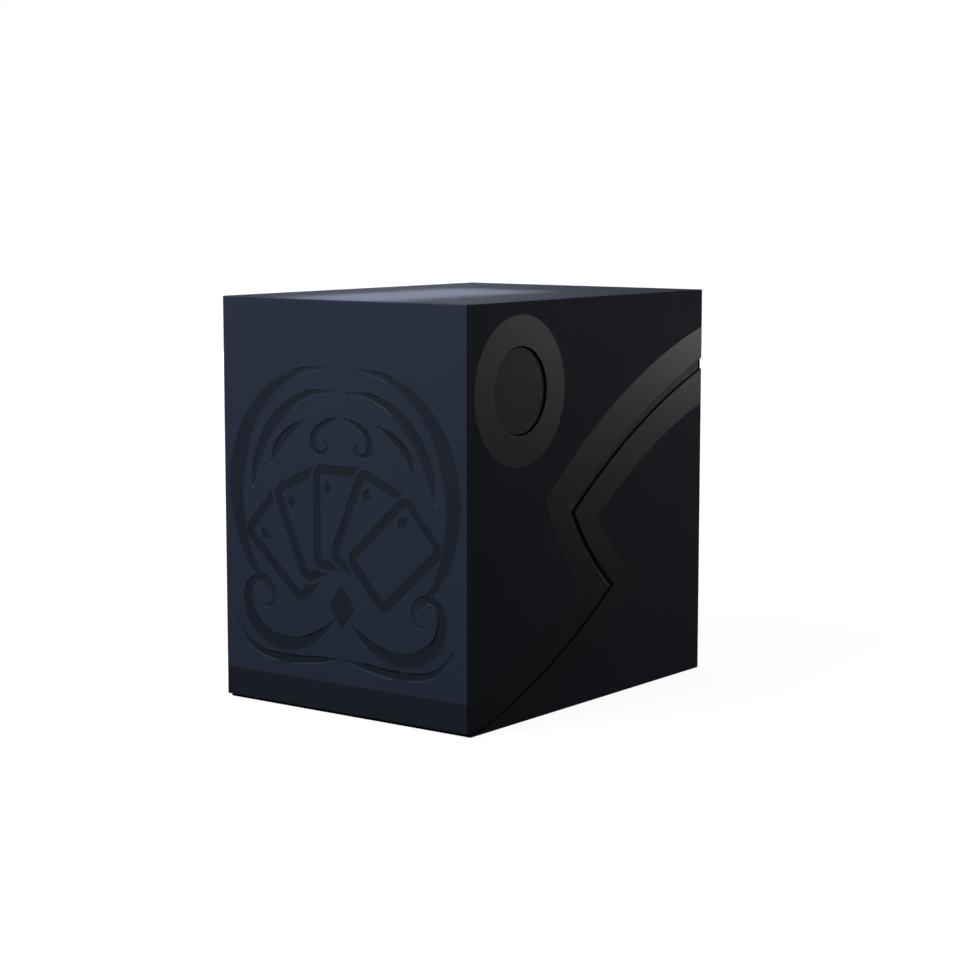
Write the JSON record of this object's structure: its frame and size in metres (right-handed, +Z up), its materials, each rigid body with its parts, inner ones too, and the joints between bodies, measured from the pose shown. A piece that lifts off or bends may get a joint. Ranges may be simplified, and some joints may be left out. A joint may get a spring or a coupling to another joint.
{
  "type": "trading card deck box",
  "caption": "Upright plastic deck box for trading cards, with a lid that flips back on a living hinge, an inner tray, release pads and a divider.",
  "frame": {"origin": "centre of the bottom of the box", "axes": "+Z up, -Y towards the front face with the ornament, +X towards the side on a viewer's right who looks at the front"},
  "size_m": [0.0776, 0.104, 0.103],
  "materials": {
    "shell_blue": "fine matte moulded texture, polished along the seam and round the windows",
    "tray_black": "satin black moulded plastic"
  },
  "bodies": {
    "base": {"base_shell": "shell_blue", "inner_tray": "tray_black", "hinge_web": "shell_blue"},
    "lid": {"lid_shell": "shell_blue"},
    "pad_right": {"release_pad_right": "tray_black"},
    "pad_left": {"release_pad_left": "tray_black"},
    "divider": {"divider": "tray_black"}
  },
  "joints": [
    {"name": "lid_hinge", "type": "hinge", "parent": "base", "child": "lid", "pos_m": [0, 0.052, 0.0833], "axis": [-1, 0, 0], "range_deg": [0, 170], "deforming": ["hinge_web"]},
    {"name": "pad_right_press", "type": "hinge", "parent": "base", "child": "pad_right", "pos_m": [0.03695, -0.0308, 0.056], "axis": [0, -1, 0], "range_deg": [0, 2.5], "stiffness_Nm_per_rad": 0.25},
    {"name": "pad_left_press", "type": "hinge", "parent": "base", "child": "pad_left", "pos_m": [-0.03695, -0.0308, 0.056], "axis": [0, 1, 0], "range_deg": [0, 2.5], "stiffness_Nm_per_rad": 0.25},
    {"name": "divider_slide", "type": "slide", "parent": "base", "child": "divider", "axis": [0, 1, 0], "range_m": [-0.04, 0.04]}
  ]
}
